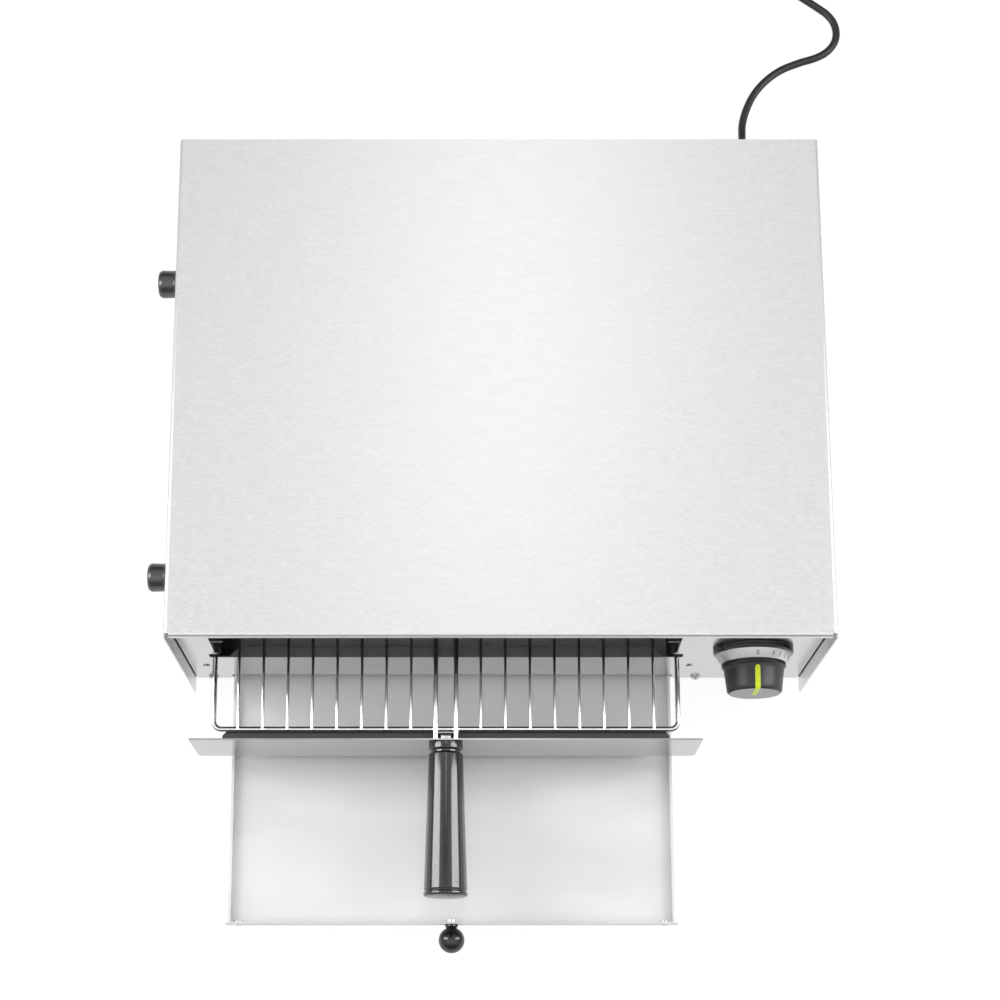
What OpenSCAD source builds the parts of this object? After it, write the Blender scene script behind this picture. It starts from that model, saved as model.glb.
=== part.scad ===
// Counter-top pizza oven with a pull-out wire rack, a crumb tray and a bell timer.
// The front looks along -Y, Z points up and the feet stand on Z = 0.
// Drawn with the rack and the crumb tray pulled part of the way out.

/* [Casing] */
// Width over the side walls
body_w = 480; // [430:1:560]
// Depth from the front edge to the back edge
body_d = 385; // [345:1:460]
// Height above the feet
body_h = 188; // [170:1:230]
// Thickness of the steel sheet
sheet = 1; // [0.8:0.1:1.2]
// Outer radius of the folded edges of the cover
fold_r = 3; // [2:0.5:3.5]
// Height of the lip that is turned down at the front edge
lip_h = 4; // [4:1:14]
// Radius of the lower front corners of the side walls
corner_r = 4; // [2:1:14]
// Distance of the front panel behind the front edge
panel_recess = 12; // [9:1:18]
// Gap between the front panel and the side walls
panel_side_gap = 1; // [0.5:0.5:4]
// Distance of the back panel inside the back edge
back_recess = 4; // [3:0.5:8]
// Air gap between the cooking chamber and the back panel
rear_gap = 38; // [30:1:60]

/* [Feet] */
// Height of the rubber feet
foot_h = 12; // [11:1:25]
// Diameter of the rubber feet
foot_d = 30; // [24:1:36]
// Distance of the feet from the edges of the casing
foot_inset = 42; // [30:1:60]
// Diameter of the side bumpers
bumper_d = 22; // [16:1:28]
// Height of the side bumpers
bumper_h = 15; // [10:1:20]
// Distance of the side bumpers below the top
bumper_drop = 24; // [18:1:40]
// Distance of the front bumper from the front edge
bumper_front = 50; // [35:1:80]
// Distance between the two bumpers
bumper_pitch = 228; // [150:1:260]

/* [Cooking opening] */
// Width of the control side, from the opening to the right edge of the casing
control_w = 105.5; // [102:0.5:130]
// Distance of the opening from the left edge of the casing
opening_side = 25.5; // [25:0.5:28]
// Height of the lower edge of the opening above the casing's bottom
opening_low = 72; // [71:1:78]
// Distance of the upper edge of the opening below the top
opening_drop = 40; // [36:1:46]
// Width of the notch at each lower corner, where the rack runs
notch_side = 5.5; // [5:0.5:6.5]
// Height of the notches
notch_h = 11; // [9:0.5:14]
// Depth of the folded flanges round the opening
opening_flange = 7; // [5:0.5:9]

/* [Rack] */
// Diameter of the frame wire
frame_wire = 4; // [3.5:0.25:4.5]
// Diameter of the thin wires
thin_wire = 2.4; // [2:0.2:3]
// Diameter of the two rods that carry the front plate
rod_d = 4; // [3.5:0.25:5]
// Distance between the two rods
rod_pitch = 15.4; // [15:0.2:17]
// Thin wires on each side of the rods
wires_per_side = 8; // [5:1:10]
// Bend radius of the frame's corners
frame_bend = 6; // [5:0.5:12]
// Distance that the rack is pulled out as drawn
rack_out = 56; // [20:1:120]

/* [Front plate] */
// How far the plate on the front of the rack reaches past the opening on each side
plate_side = 18.5; // [10:0.5:20]
// Gap between the plate and the ball knob, which passes under it
plate_gap = 0.6; // [0.5:0.1:12]
// Thickness of the plate
plate_t = 1.2; // [1:0.1:2]
// Distance of the dark liner's ends inside the opening's edges
liner_side = 5.5; // [0:0.5:20]
// Depth of the liner
liner_d = 8.5; // [6.5:0.5:10]

/* [Handle] */
// Length of the grip
grip_len = 108; // [90:1:125]
// Diameter of the collar and of the grip's root
grip_root_d = 26; // [24:0.5:28]
// Diameter at the grip's end
grip_end_d = 33; // [30:0.5:36]
// Length of the collar
collar_len = 8; // [6:0.5:12]
// Diameter of the bolt in the handle
bolt_d = 6; // [5:0.5:6]

/* [Crumb tray] */
// How much narrower than the opening the tray is on each side
tray_side = 2.5; // [1.5:0.5:12]
// Shift of the tray to the right of the rack's middle
tray_shift = 4; // [0:0.5:4]
// Height of the tray's walls
tray_wall_h = 8.5; // [7.5:0.5:9.5]
// Distance that the tray is pulled out as drawn
tray_out = 195; // [60:1:220]
// How far the tray's front reaches past the tray on each side
tray_front_side = 2; // [2:0.5:6]
// Diameter of the ball knob
ball_d = 20; // [17:0.5:22]

/* [Timer] */
// Distance of the timer from the right edge of the casing
timer_side = 49.5; // [46:0.5:52]
// Height of the timer above the casing's bottom
timer_high = 100; // [92:0.5:110]
// Outer diameter of the dial
dial_d = 60; // [54:0.5:62]
// Diameter of the knob's foot
knob_d = 48; // [46:0.5:49]
// Diameter of the knob's end
knob_end_d = 41; // [34:0.5:42]
// Length of the knob
knob_len = 22; // [18:0.5:28]
// Width of the pointer
pointer_w = 4; // [3:0.2:6]

/* [Heating] */
// Diameter of the heating tubes
tube_d = 10; // [8:0.5:12]
// Tubes above and tubes below the rack
tube_count = 4; // [3:1:5]
// Distance of the upper tubes below the chamber's ceiling
upper_tubes = 31; // [22:1:38]
// Height of the lower tubes above the casing's bottom
lower_tubes = 40; // [34:1:48]

/* [Power cord] */
// Diameter of the cord
cord_d = 6.5; // [6:0.1:6.5]
// Length of the strain relief outside the back panel
gland_len = 32; // [26:1:40]
// Distance of the strain relief from the right edge of the casing
gland_side = 36.5; // [32:0.5:44]
// Height of the strain relief above the casing's bottom
gland_high = 33; // [30:1:40]
// Radius of the outermost turn of the coil
coil_r = 45; // [42:1:54]
// Turns of the coil, counted over both layers
coil_turns = 4.9; // [3.9:1:5.9]
// Distance between neighbouring turns and layers
coil_step = 7; // [6.95:0.05:8]

/* [Hidden] */
$fn = 48;

// Clearances
rack_play = 2.5;
rail_play = 0.3;
rail_side_gap = 1;
slide_gap = 0.3;
tray_play = 1.5;
closed_gap = 0.4;
bore_play = 0.05;
hole_play = 0.1;
turn_gap = 0.4;
flange_gap = 2;
weld = 0.2;
past = 1;

// Casing, measured from the middle of the whole object as drawn
ball_len = ball_d + 2;
front_reach = tray_out + sheet - panel_recess + ball_len;
left_x = (bumper_h - body_w) / 2;
right_x = left_x + body_w;
front_y = (front_reach - body_d) / 2;
back_y = front_y + body_d;
base_z = foot_h;
top_z = foot_h + body_h;
inner_left = left_x + sheet;
inner_right = right_x - sheet;
under_top = top_z - sheet;
floor_z = base_z + sheet;
panel_y = front_y + panel_recess;
panel_back = panel_y + sheet;
panel_left = inner_left + panel_side_gap;
panel_right = inner_right - panel_side_gap;
back_out = back_y - back_recess;
back_in = back_out - sheet;
fold_flange = 12;
flange_z = base_z + fold_flange + flange_gap;

// Cooking opening, rack and chamber
opening_w = body_w - opening_side - control_w;
rack_x = left_x + opening_side + opening_w / 2;
opening_z = base_z + opening_low;
opening_top = top_z - opening_drop;
notch_top = opening_z + notch_h;
notch_half = opening_w / 2 + notch_side;
rack_w = 2 * (notch_half - rack_play) - frame_wire;
frame_z = opening_z + frame_wire / 2 + 1.2;
rod_z = frame_z + frame_wire / 2 + rod_d / 2 - weld;
thin_z = frame_z + frame_wire / 2 + thin_wire / 2 - weld;
wire_pitch = (rack_w - rod_pitch) / 2 / (wires_per_side + 1);
chamber_half = rack_w / 2 + frame_wire / 2 + rail_side_gap + sheet;
chamber_left = rack_x - chamber_half;
chamber_right = rack_x + chamber_half;
rear_y = back_in - rear_gap - sheet;
ceiling_z = opening_top + 10;
rail_w = 8;

// Heating tubes
tube_edge = 45;
tube_pitch = (rear_y - panel_back - 2 * tube_edge) / (tube_count - 1);
TUBES_Y = [for (i = [0 : tube_count - 1]) panel_back + tube_edge + i * tube_pitch];
upper_z = ceiling_z - upper_tubes;
lower_z = base_z + lower_tubes;
cap_len = 12;
cap_d = tube_d + 6;
cap_end = 2;
link_h = 8;

// Crumb tray
tray_x = rack_x + tray_shift;
tray_w = opening_w - 2 * tray_side;
tray_low = floor_z + slide_gap;
tray_t = 0.8;
tray_top = tray_low + tray_wall_h;
tray_hem = 2;
hem_h = 2.4;
hold_gap = 1;
slot_top = tray_top + hold_gap + sheet;
slot_half = tray_w / 2 + tray_play;
tray_in = panel_y - tray_out;
tray_face = tray_in - sheet;
tray_back = rear_y - 10 - tray_out;
ball_z = tray_low + (tray_t + tray_wall_h) / 2;
ball_y = tray_face - ball_len + ball_d / 2;
ball_screw_d = 4;
ball_screw_head_d = 6;
tray_rivet_x = tray_w / 2 - 8;

// Front plate, liner and handle
liner_back = panel_y - closed_gap - rack_out;
plate_in = liner_back - liner_d;
plate_y = plate_in - plate_t;
rack_front = liner_back;
rack_back = rear_y - 6 - rack_out;
plate_top = rod_z + rod_d / 2 + 2;
plate_low = ball_z + ball_d / 2 + plate_gap;
plate_h = plate_top - plate_low;
plate_w = opening_w + 2 * plate_side;
plate_corner = 5;
liner_w = opening_w - 2 * liner_side;
liner_top = frame_z - frame_wire / 2 - 1.5;
liner_low = plate_low + 4;
liner_notch = 10;
handle_z = rod_z - 9;
washer_d = 11;
washer_t = 1;
bolt_head_d = 10;
bolt_head_t = 4;
bolt_reach = 40;
groove_len = 2;

// Timer
timer_x = right_x - timer_side;
timer_z = base_z + timer_high;
timer_w = 46;
timer_d = 42;
shaft_d = 6;
shaft_hole_d = 10;
bezel_t = 5;
ring_t = 7;
knob_y = panel_y - bezel_t - ring_t - turn_gap;
knob_skirt = 2;
pointer_depth = 1;
pointer_proud = 0.3;
pointer_end = 24;

// Screws and rivets
screw_d = 4;
screw_head_d = 8;
screw_head_h = 2.4;
rivet_d = 3.8;
rivet_head_d = 6;
panel_screw_z = base_z + 6;
panel_screws_x = [chamber_left - sheet - 4, chamber_right + sheet + 16];
panel_rivets_x = [chamber_left - sheet - 5.5, chamber_right + sheet + 8];
panel_rivet_z = opening_z - 28;
back_screws_x = [inner_left + fold_flange / 2, inner_right - fold_flange / 2];
back_screws_z = [base_z + 35, base_z + body_h / 2, top_z - 25];
feet_x = [left_x + foot_inset, right_x - foot_inset];
feet_y = [front_y + foot_inset, back_y - foot_inset];
foot_recess = 6;
foot_recess_d = 13;

// Terminal block and leads
gland_x = right_x - gland_side;
gland_z = base_z + gland_high;
gland_hole_d = 12;
gland_in = 6;
block_back = back_in - 46;
block_front = block_back - 44;
block_z = floor_z + 9;
lead_d = 2.4;
timer_back = panel_back + timer_d;
link_x = chamber_right + sheet + cap_len + sheet;

// Power cord: places from the strain relief's end, with the share of the drop to the table in RUN
// and the height above the table in END
cord_sides = 10;
lay_z = cord_d / 2 + 0.1;
tie_t = 0.8;
coil_low = tie_t + 0.2 + cord_d / 2;
cord_from = [gland_x, back_out + gland_len, 0];
RUN = [[0, 0, 0], [0, 12.5, 0], [0.5, 25.5, 0.12], [2, 37.5, 0.324], [3.5, 48.5, 0.576],
    [5, 59.5, 0.804], [6, 71.5, 0.948], [7, 84.5, 1], [11, 98.5, 1], [18, 112.5, 1], [28, 124.5, 1],
    [41, 134.5, 1], [57, 141.5, 1], [72, 146.5, 1], [82, 152.5, 1], [88.5, 161, 1], [90.5, 170.5, 1],
    [88.5, 180, 1], [83, 188, 1], [75, 194.5, 1], [62, 204, 1]];
END = [[48, 214, lay_z + 0.3], [38, 221.1, coil_low], [28, 228.3, coil_low]];
CORD = concat([for (p = RUN) cord_from + [p[0], p[1], gland_z + (lay_z - gland_z) * p[2]]],
    [for (p = END) cord_from + p]);

// Coil: the spiral runs in on the lower layer and out again on the upper one
coil_sides = 6;
loop_rings = 24;
tie_w = 14;
tie_gap = 0.6;
cord_end = CORD[len(CORD) - 1];
heading = unit(cord_end - CORD[len(CORD) - 2]);
coil_start = cord_end + cord_d * heading;
coil_mid = coil_start + coil_r * [heading.y, -heading.x, 0];
coil_angle = atan2(coil_start.y - coil_mid.y, coil_start.x - coil_mid.x);
coil_in = coil_r - coil_step * coil_turns / 2;
LOOPS = [for (i = [0 : round(coil_turns * loop_rings)]) coil_point(i / loop_rings)];
coil_out = LOOPS[len(LOOPS) - 1];
out_dir = level(coil_out - LOOPS[len(LOOPS) - 2]);
plug_r = 18.5;
plug_z = plug_r + 0.3;
tail_rise = plug_z - coil_out.z;
tail_len = 60;
TAIL = [for (s = [0.15 : 0.17 : 1]) coil_out + tail_len * s * out_dir + [0, 0, tail_rise * ease(s)]];
plug_at = coil_out + (tail_len + cord_d) * out_dir + [0, 0, tail_rise];
COIL = concat([cord_end], LOOPS, TAIL, [plug_at]);
plug_turn = atan2(out_dir.y, out_dir.x);
pin_d = 4.8;
pin_len = 19;
pin_pitch = 19;
plug_len = 54;

// Least gap of the coil to itself, between points half a turn or more apart
coil_gap = min([for (i = [0 : len(LOOPS) - 13]) for (j = [i + 12 : len(LOOPS) - 1])
    norm(LOOPS[i] - LOOPS[j])]) - cord_d;
echo(coil_gap = coil_gap);
echo(cord_length = path_len(CORD) + path_len(COIL));

function unit(v) = v / norm(v);
function level(v) = unit([v.x, v.y, 0]);
function ease(s) = s * s * (3 - 2 * s);
function held(s) = max(0, min(1, s));
function path_len(p) = len(p) < 2 ? 0 : sum([for (i = [1 : len(p) - 1]) norm(p[i] - p[i - 1])]);
function sum(v, i = 0) = i == len(v) ? 0 : v[i] + sum(v, i + 1);
function coil_point(u) = coil_mid
    + (coil_in + coil_step * abs(u - coil_turns / 2))
        * [cos(coil_angle - 360 * u), sin(coil_angle - 360 * u), 0]
    + [0, 0, coil_step * ease(held((u - coil_turns / 2 + 0.25) / 0.5))];
function along(p, i) = unit(p[min(i + 1, len(p) - 1)] - p[max(i - 1, 0)]);
function ring(at, dir, r, n) = let (side = unit(cross(dir, [0, 0, 1])), up = cross(side, dir))
    [for (k = [0 : n - 1]) at + r * (cos(360 * k / n) * side + sin(360 * k / n) * up)];

// A round tube swept along a list of points
module tube(p, d, n) {
    last = (len(p) - 1) * n;
    polyhedron(
        points = [for (i = [0 : len(p) - 1]) each ring(p[i], along(p, i), d / 2, n)],
        faces = concat(
            [for (k = [1 : n - 2]) [0, k, k + 1]],
            [for (k = [1 : n - 2]) [last, last + k + 1, last + k]],
            [for (i = [0 : len(p) - 2]) for (k = [0 : n - 1])
                [i * n + k, (i + 1) * n + k, i * n + (k + 1) % n]],
            [for (i = [0 : len(p) - 2]) for (k = [0 : n - 1])
                [i * n + (k + 1) % n, (i + 1) * n + k, (i + 1) * n + (k + 1) % n]]));
}

// A block between two corners
module block(a, b) {
    translate(a) cube(b - a);
}

// Round bars along the three axes
module bar_x(x0, x1, y, z, d) {
    translate([x0, y, z]) rotate([0, 90, 0]) cylinder(d = d, h = x1 - x0);
}

module bar_y(y0, y1, x, z, d) {
    translate([x, y0, z]) rotate([-90, 0, 0]) cylinder(d = d, h = y1 - y0);
}

module bar_z(z0, z1, x, y, d) {
    translate([x, y, z0]) cylinder(d = d, h = z1 - z0);
}

// A flat shape in Y and Z, drawn out along X
module drawn_x(x0, x1) {
    translate([x0, 0, 0]) rotate([90, 0, 90]) linear_extrude(x1 - x0) children();
}

// A turned piece whose axis leaves the point towards the front
module turned(x, y, z, outline) {
    translate([x, y, z]) rotate([90, 0, 0]) rotate_extrude() polygon(outline);
}

// A rectangle with rounded upper corners
module round_top(w, h, r) {
    square([w, h - r]);
    translate([r, 0]) square([w - 2 * r, h]);
    translate([r, h - r]) circle(r);
    translate([w - r, h - r]) circle(r);
}

// A pan-head screw with a cross slot, its head towards the front of the point
module pan_screw(x, y, z, reach) {
    difference() {
        turned(x, y + reach, z, [[0, 0], [screw_d / 2, 0], [screw_d / 2, reach],
            [screw_head_d / 2, reach], [screw_head_d / 2, reach + screw_head_h * 0.5],
            [screw_head_d / 2 - 1, reach + screw_head_h * 0.9],
            [screw_head_d / 2 - 2, reach + screw_head_h], [0, reach + screw_head_h]]);
        for (a = [0, 90])
            translate([x, y - screw_head_h, z]) rotate([0, a, 0]) cube([4, 2.4, 0.9], center = true);
    }
}

// Cover: top and side walls folded from one sheet, with a lip at the front
module top_cover() color("gainsboro") {
    difference() {
        union() {
            translate([left_x, back_y, base_z]) rotate([90, 0, 0]) linear_extrude(body_d - fold_r)
                difference() {
                    round_top(body_w, body_h, fold_r);
                    translate([sheet, -past])
                        round_top(body_w - 2 * sheet, body_h - sheet + past, fold_r - sheet);
                }
            for (x = [left_x, inner_right])
                block([x, front_y, base_z], [x + sheet, front_y + fold_r + past, top_z - fold_r - 1]);
            drawn_x(inner_left + fold_r, inner_right - fold_r) difference() {
                translate([front_y, top_z - lip_h]) round_top(3 * fold_r, lip_h, fold_r);
                translate([front_y + sheet, top_z - lip_h - past])
                    round_top(3 * fold_r, lip_h - sheet + past, fold_r - sheet);
                translate([front_y + fold_r + past, top_z - lip_h - past])
                    square([3 * fold_r, lip_h + 2 * past]);
            }
            for (x = [inner_left, inner_right - fold_flange])
                block([x, back_in - sheet, flange_z], [x + fold_flange, back_in, under_top]);
        }
        drawn_x(left_x - past, right_x + past) difference() {
            translate([front_y - past, base_z - past]) square(corner_r + past);
            translate([front_y + corner_r, base_z + corner_r]) circle(corner_r);
        }
        for (x = back_screws_x)
            for (z = back_screws_z)
                bar_y(back_in - 2 * sheet, back_in + past, x, z, screw_d + 2 * hole_play);
    }
}

// Front panel with the cooking opening, the tray slot and folded flanges
module front_panel() color("silver") {
    half = opening_w / 2;
    ledge = half - 9.5;
    difference() {
        union() {
            translate([panel_left, panel_back, base_z]) rotate([90, 0, 0]) linear_extrude(sheet)
                round_top(panel_right - panel_left, under_top - base_z, fold_r);
            for (x = [panel_left, panel_right - sheet])
                block([x, panel_back, flange_z],
                    [x + sheet, panel_back + fold_flange, under_top - fold_r]);
            for (x = [rack_x - half - sheet, rack_x + half])
                block([x, panel_back, notch_top + 2],
                    [x + sheet, panel_back + opening_flange, opening_top]);
            translate([rack_x, panel_back, opening_z - sheet]) linear_extrude(sheet)
                polygon([[-ledge, 0], [ledge, 0], [ledge - opening_flange, opening_flange],
                    [opening_flange - ledge, opening_flange]]);
        }
        block([rack_x - half, panel_y - past, opening_z],
            [rack_x + half, panel_back + past / 2, opening_top]);
        block([rack_x - notch_half, panel_y - past, opening_z],
            [rack_x + notch_half, panel_back + past / 2, notch_top]);
        block([tray_x - slot_half, panel_y - past, base_z - past],
            [tray_x + slot_half, panel_back + past, slot_top]);
        bar_y(panel_y - past, panel_back + past, timer_x, timer_z, shaft_hole_d);
        for (x = panel_screws_x)
            bar_y(panel_y - past, panel_back + past, x, panel_screw_z, screw_d + 2 * hole_play);
        for (x = panel_rivets_x)
            bar_y(panel_y - past, panel_back + past, x, panel_rivet_z, rivet_d + 2 * hole_play);
    }
    for (s = [-1, 1])
        translate([rack_x + s * (half - 4.5), panel_back + opening_flange / 2, opening_top - 30])
            cube([9, opening_flange, sheet], center = true);
}

// Back panel with cooling slots and the hole for the strain relief
module back_panel() color("silver") {
    slot_w = 34;
    difference() {
        translate([inner_left, back_out, base_z]) rotate([90, 0, 0]) linear_extrude(sheet)
            round_top(inner_right - inner_left, under_top - base_z, fold_r);
        for (i = [0 : 4])
            for (k = [0 : 2])
                block([left_x + 60 + i * 60, back_in - past, top_z - 40 - k * 12],
                    [left_x + 60 + slot_w + i * 60, back_out + past, top_z - 36 - k * 12]);
        bar_y(back_in - past, back_out + past, gland_x, gland_z, gland_hole_d + 2 * hole_play);
        for (x = back_screws_x)
            for (z = back_screws_z) bar_y(back_in - past, back_out + past, x, z, screw_d + 2 * hole_play);
    }
}

// Base plate with turned-up edges, cooling slots and holes for the feet
module base_plate() color("silver") {
    difference() {
        union() {
            block([inner_left, panel_back, base_z], [inner_right, back_in, floor_z]);
            for (x = [inner_left, inner_right - sheet])
                block([x, panel_back, base_z], [x + sheet, back_in, base_z + fold_flange]);
            block([inner_left, panel_back, base_z],
                [chamber_left - sheet - closed_gap, panel_back + sheet, base_z + fold_flange]);
            block([chamber_right + sheet + closed_gap, panel_back, base_z],
                [inner_right, panel_back + sheet, base_z + fold_flange]);
        }
        for (x = feet_x)
            for (y = feet_y) bar_z(base_z - past, floor_z + past, x, y, screw_d + 2 * hole_play);
        for (x = panel_screws_x)
            bar_y(panel_back - past, panel_back + 2 * sheet, x, panel_screw_z, screw_d + 2 * hole_play);
        for (i = [0 : 5])
            block([chamber_right + 24, panel_back + 90 + i * 14, base_z - past],
                [chamber_right + 64, panel_back + 95 + i * 14, floor_z + past]);
    }
}

// One side wall of the cooking chamber; flange_x is the outer edge of its front flange
module chamber_wall(x, flange_x) {
    difference() {
        union() {
            block([x, panel_back, floor_z], [x + sheet, rear_y + sheet, ceiling_z]);
            block([min(x, flange_x), panel_back, flange_z],
                [max(x + sheet, flange_x), panel_back + sheet, ceiling_z]);
        }
        for (y = TUBES_Y)
            for (z = [upper_z, lower_z]) bar_x(x - past, x + sheet + past, y, z, tube_d + 2);
        for (r = panel_rivets_x)
            bar_y(panel_back - past, panel_back + 2 * sheet, r, panel_rivet_z, rivet_d + 2 * hole_play);
    }
}

module chamber_left_wall() color("lightgray")
    chamber_wall(chamber_left - sheet, chamber_left - sheet - fold_flange);

module chamber_right_wall() color("lightgray")
    chamber_wall(chamber_right, chamber_right + sheet + fold_flange);

module chamber_rear_wall() color("lightgray")
    block([chamber_left, rear_y, floor_z], [chamber_right, rear_y + sheet, ceiling_z]);

module chamber_ceiling() color("lightgray")
    block([chamber_left - sheet, panel_back, ceiling_z],
        [chamber_right + sheet, rear_y + sheet, ceiling_z + sheet]);

// Channel rails on the chamber walls, in which the rack's side wires run
module rack_rails() color("lightgray") {
    low = frame_z - frame_wire / 2 - rail_play;
    high = frame_z + frame_wire / 2 + rail_play;
    for (s = [0, 1])
        translate([rack_x, 0, 0]) mirror([s, 0, 0]) translate([-chamber_half, 0, 0]) {
            block([0, panel_back + 1, low - sheet], [sheet, rear_y - 1, high + sheet]);
            block([0, panel_back + 1, low - sheet], [rail_w, rear_y - 1, low]);
            block([0, panel_back + 1, high], [rail_w, rear_y - 1, high + sheet]);
        }
}

// Angle runners on the base plate that guide and hold down the crumb tray
module tray_runners() color("lightgray") {
    for (s = [0, 1])
        translate([tray_x, 0, 0]) mirror([s, 0, 0]) translate([-slot_half, 0, 0]) {
            block([-sheet, panel_back + 1, floor_z], [0, rear_y - 1, slot_top]);
            block([-sheet, panel_back + 1, slot_top - sheet], [4, rear_y - 1, slot_top]);
        }
}

// Quartz heating tubes across the chamber
module heating_tubes(z) {
    reach = sheet + cap_len - cap_end;
    for (y = TUBES_Y)
        bar_x(chamber_left - reach, chamber_right + reach, y, z, tube_d);
}

module upper_heating_tubes() color("ivory") heating_tubes(upper_z);

module lower_heating_tubes() color("ivory") heating_tubes(lower_z);

// Ceramic caps on the tube ends, outside the chamber walls
module tube_caps(z) {
    for (y = TUBES_Y)
        for (s = [0, 1])
            translate([rack_x, 0, 0]) mirror([s, 0, 0]) difference() {
                bar_x(-chamber_half - sheet - cap_len, -chamber_half - sheet, y, z, cap_d);
                bar_x(-chamber_half - sheet - cap_len + cap_end, -chamber_half, y, z,
                    tube_d + 2 * hole_play);
            }
}

module upper_tube_caps() color("white") tube_caps(upper_z);

module lower_tube_caps() color("white") tube_caps(lower_z);

// Flat strips that link the tube ends
module heater_links() color("lightgray") {
    for (s = [0, 1])
        for (z = [upper_z, lower_z])
            translate([rack_x, 0, 0]) mirror([s, 0, 0])
                block([-chamber_half - 2 * sheet - cap_len, TUBES_Y[0] - 5, z - link_h / 2],
                    [-chamber_half - sheet - cap_len, TUBES_Y[tube_count - 1] + 5, z + link_h / 2]);
}

// Clockwork bell timer behind the front panel
module timer_body() color("dimgray") {
    difference() {
        union() {
            block([timer_x - timer_w / 2, panel_back, timer_z - timer_w / 2],
                [timer_x + timer_w / 2, timer_back - 12, timer_z + timer_w / 2]);
            bar_y(timer_back - 12, timer_back, timer_x, timer_z, timer_w - 4);
        }
        bar_y(panel_back - past, timer_back - 16, timer_x, timer_z, shaft_d + 2 * bore_play);
    }
}

// Black seat of the dial on the front panel
module dial_bezel() color("black") {
    r = dial_d / 2;
    turned(timer_x, panel_y, timer_z, [[shaft_hole_d / 2, 0], [r, 0], [r, bezel_t - 1.6],
        [r - 0.5, bezel_t - 0.6], [r - 1.3, bezel_t], [shaft_hole_d / 2, bezel_t]]);
}

// Conical dial ring that carries the scale
module dial_ring() color("silver") {
    turned(timer_x, panel_y - bezel_t, timer_z, [[shaft_hole_d / 2, 0], [dial_d / 2 - 1.8, 0],
        [knob_d / 2 + 0.6, ring_t], [shaft_hole_d / 2, ring_t]]);
}

// Mains terminal block on the base plate
module terminal_block() color("ivory") {
    difference() {
        block([gland_x - 16, block_front, floor_z], [gland_x + 16, block_back, floor_z + 18]);
        for (x = [-10, 0, 10])
            for (y = [9, 35]) bar_z(floor_z + 12, floor_z + 18 + past, gland_x + x, block_front + y, 6);
    }
}

// Insulated leads from the strain relief to the block, the timer and the heaters
module wiring() color("firebrick") {
    tube([[gland_x, back_in - gland_in, gland_z], [gland_x, back_in - gland_in - 6, gland_z],
        [gland_x, back_in - 24, gland_z - 6], [gland_x, block_back + 12, block_z + 5],
        [gland_x, block_back + 5, block_z], [gland_x, block_back, block_z]], lead_d, 8);
    tube([[gland_x, block_front, block_z], [gland_x, block_front - 12, block_z],
        [(gland_x + timer_x) / 2, (block_front + timer_back) / 2, (block_z + timer_z) / 2],
        [timer_x, timer_back + 14, timer_z], [timer_x, timer_back, timer_z]], lead_d, 8);
    tube([[timer_x - 14, timer_back, timer_z + 8], [timer_x - 14, timer_back + 12, timer_z + 8],
        [timer_x - 17, timer_back + 26, timer_z + 14], [link_x + 14, TUBES_Y[1] - 6, upper_z],
        [link_x + 6, TUBES_Y[1], upper_z], [link_x, TUBES_Y[1], upper_z]], lead_d, 8);
}

// Rubber feet with a recess for the screw head
module bottom_feet() color("black") {
    for (x = feet_x)
        for (y = feet_y)
            difference() {
                translate([x, y, 0]) cylinder(d1 = foot_d - 4, d2 = foot_d, h = foot_h);
                bar_z(-past, foot_recess, x, y, foot_recess_d);
                bar_z(-past, foot_h + past, x, y, screw_d + 2 * hole_play);
            }
}

module foot_screws() color("silver") {
    for (x = feet_x)
        for (y = feet_y) {
            bar_z(foot_recess - screw_head_h, foot_recess, x, y, screw_head_d);
            bar_z(foot_recess, floor_z, x, y, screw_d);
        }
}

// Rubber bumpers on the left side wall
module side_bumpers() color("black") {
    r = bumper_d / 2;
    for (y = [front_y + bumper_front, front_y + bumper_front + bumper_pitch])
        translate([left_x, y, top_z - bumper_drop]) rotate([0, -90, 0]) rotate_extrude()
            polygon([[0, 0], [r, 0], [r - 0.6, bumper_h - 3], [r - 1.4, bumper_h - 1], [r - 3, bumper_h],
                [4.5, bumper_h], [4.5, bumper_h - 6], [0, bumper_h - 6]]);
}

module panel_screws() color("silver") {
    for (x = panel_screws_x) pan_screw(x, panel_y, panel_screw_z, 9);
}

module panel_rivets() color("silver") {
    for (x = panel_rivets_x)
        turned(x, panel_y + 7, panel_rivet_z, [[0, 0], [rivet_d / 2, 0], [rivet_d / 2, 7],
            [rivet_head_d / 2, 7], [rivet_head_d / 2 - 0.6, 7.8], [rivet_head_d / 2 - 1.6, 8.2], [0, 8.2]]);
}

module back_screws() color("silver") {
    for (x = back_screws_x)
        for (z = back_screws_z)
            translate([x, back_out, z]) rotate([0, 0, 180]) pan_screw(0, 0, 0, 9);
}

// Outer frame of the rack, bent from one wire
module rack_frame() color("silver") {
    half = rack_w / 2;
    for (s = [-1, 1])
        bar_y(rack_front + frame_bend, rack_back - frame_bend, rack_x + s * half, frame_z, frame_wire);
    for (y = [rack_front, rack_back])
        bar_x(rack_x - half + frame_bend, rack_x + half - frame_bend, y, frame_z, frame_wire);
    for (c = [[1, rack_back - frame_bend, 0], [-1, rack_back - frame_bend, 90],
        [-1, rack_front + frame_bend, 180], [1, rack_front + frame_bend, 270]])
        translate([rack_x + c[0] * (half - frame_bend), c[1], frame_z]) rotate([0, 0, c[2]])
            rotate_extrude(angle = 90) translate([frame_bend, 0]) circle(d = frame_wire);
}

// Thin wires welded on the frame
module rack_wires() color("silver") {
    for (s = [-1, 1])
        for (i = [1 : wires_per_side])
            bar_y(rack_front - 1, rack_back + 1, rack_x + s * (rod_pitch / 2 + i * wire_pitch),
                thin_z, thin_wire);
}

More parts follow.
